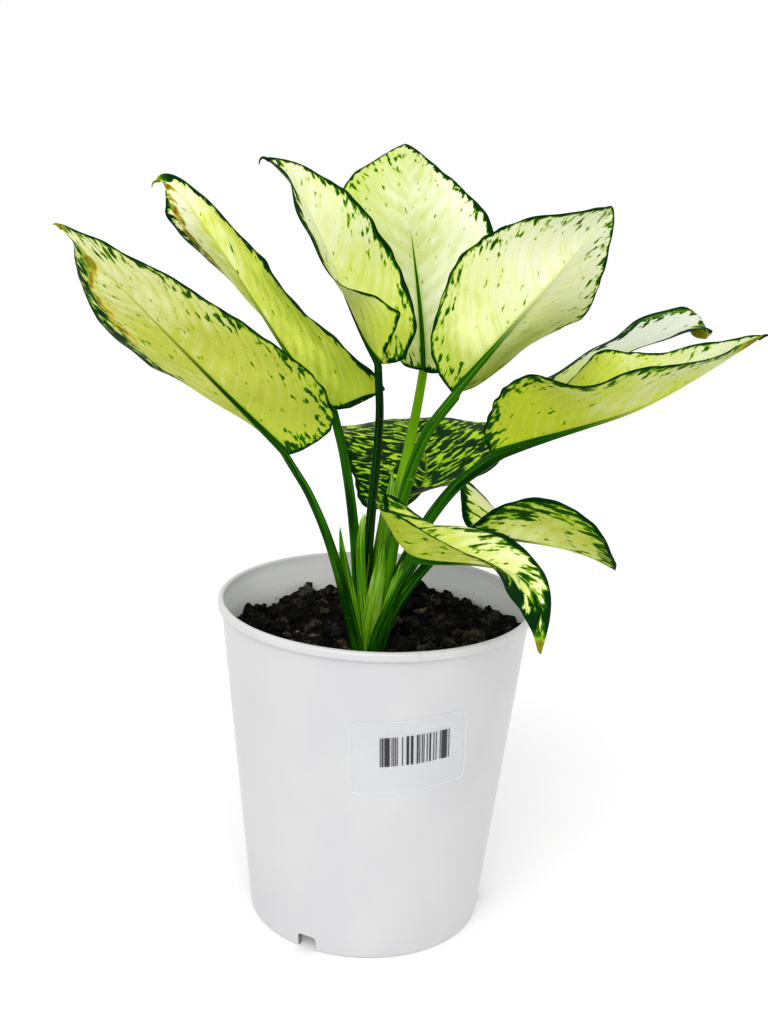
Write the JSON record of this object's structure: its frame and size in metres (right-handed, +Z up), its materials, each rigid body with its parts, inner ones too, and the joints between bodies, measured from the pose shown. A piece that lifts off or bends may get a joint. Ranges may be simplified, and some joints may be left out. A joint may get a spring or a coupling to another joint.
{
  "type": "potted white joy chinese evergreen",
  "caption": "Potted chinese evergreen: pointed cream and green leaves on upright stalks from one crown, in a tapered white nursery pot filled with soil.",
  "frame": {"origin": "centre of the pot's flat base, on the surface that it stands on", "axes": "+Z up along the pot's axis, -Y towards the side with the sticker, +X to the right seen from that side"},
  "size_m": [0.2415, 0.2033, 0.3193],
  "materials": {
    "pot_plastic": "satin injection-moulded",
    "soil": "loose damp potting soil",
    "clear_film": "clear glossy film with printed bars",
    "stem": "smooth fleshy stem",
    "pale_leaf": "waxy leaf, cream with green margins and veins",
    "old_leaf": "waxy leaf, dark green with lime flecks"
  },
  "bodies": {
    "root": {"pot": "pot_plastic", "soil": "soil", "sticker": "clear_film", "crown": "stem", "leaf_a": "pale_leaf", "leaf_b": "pale_leaf", "leaf_c": "pale_leaf", "leaf_d": "pale_leaf", "leaf_e": "pale_leaf", "leaf_f": "pale_leaf", "leaf_g": "pale_leaf", "leaf_h": "old_leaf", "leaf_i": "pale_leaf", "leaf_j": "pale_leaf"}
  },
  "joints": []
}
